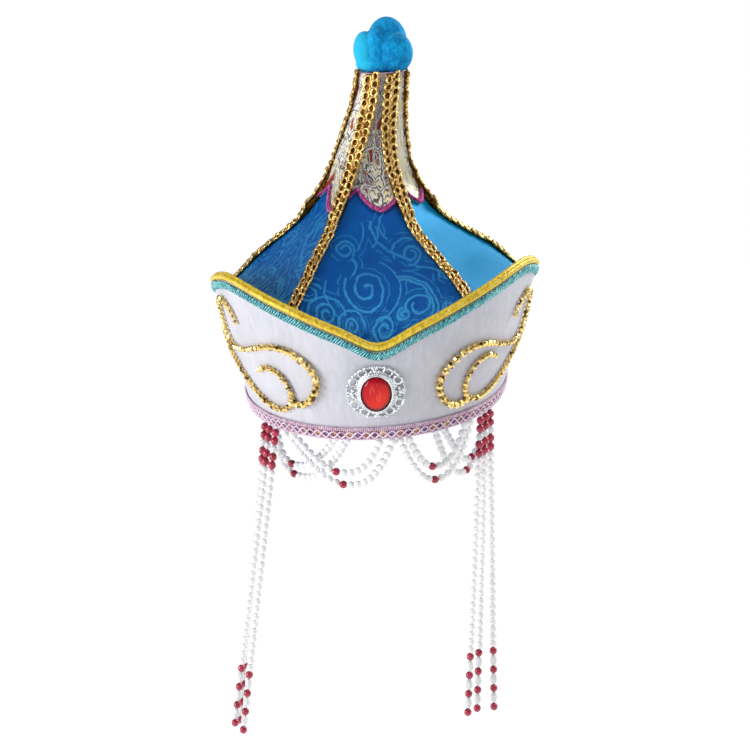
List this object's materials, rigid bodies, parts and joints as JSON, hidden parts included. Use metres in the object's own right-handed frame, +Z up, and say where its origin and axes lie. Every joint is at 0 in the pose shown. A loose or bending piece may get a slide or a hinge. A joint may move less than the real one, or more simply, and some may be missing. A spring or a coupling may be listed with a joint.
{
  "type": "mongolian dance cap",
  "caption": "Dance cap with an onion-shaped brocade crown, tall neck and velvet knot, set in a flared velvet band with gold bead scrolls, a jewelled brooch and a hanging pearl fringe.",
  "frame": {"origin": "centre of the head opening, in the plane of the band's lower edge", "axes": "+Z up through the crown, -Y to the front where the brooch is, +X to the wearer's left"},
  "size_m": [0.2162, 0.2406, 0.4522],
  "materials": {
    "white_velvet": "short-pile white velvet",
    "yellow_satin": "yellow satin piping",
    "teal_braid": "twisted metallic teal braid",
    "lilac_braid": "lilac braid with small sequins",
    "blue_brocade": "blue satin brocade with a tone-on-tone cloud pattern",
    "silver_brocade": "silver and gold metallic brocade",
    "magenta_braid": "twisted metallic magenta braid",
    "gold_chain": "gold-plated chain braid",
    "blue_velvet": "bright blue velvet",
    "silver_filigree": "silver-plated openwork",
    "red_glass": "faceted, foil-backed",
    "gold_beads": "gold-plated, faceted",
    "pearl": "pearl lacquer, with red pearls and clear crystals among the white"
  },
  "bodies": {
    "root": {"band": "white_velvet", "brim_piping": "yellow_satin", "brim_braid": "teal_braid", "rim_braid": "lilac_braid", "crown": "blue_brocade", "neck_sleeve": "silver_brocade", "sleeve_trim": "magenta_braid", "seam_braid_1": "gold_chain", "seam_braid_2": "gold_chain", "seam_braid_3": "gold_chain", "seam_braid_4": "gold_chain", "seam_braid_5": "gold_chain", "seam_braid_6": "gold_chain", "knob": "blue_velvet", "brooch_setting": "silver_filigree", "brooch_stone": "red_glass", "scroll_left_outer": "gold_beads", "scroll_left_inner": "gold_beads", "scroll_right_outer": "gold_beads", "scroll_right_inner": "gold_beads", "strand_left_1": "pearl", "strand_left_2": "pearl", "strand_left_3": "pearl", "strand_right_1": "pearl", "strand_right_2": "pearl", "strand_right_3": "pearl", "swag_left_outer_1": "pearl", "swag_left_outer_2": "pearl", "swag_left_inner_1": "pearl", "swag_left_inner_2": "pearl", "swag_right_inner_1": "pearl", "swag_right_inner_2": "pearl", "swag_right_outer_1": "pearl", "swag_right_outer_2": "pearl"}
  },
  "joints": []
}
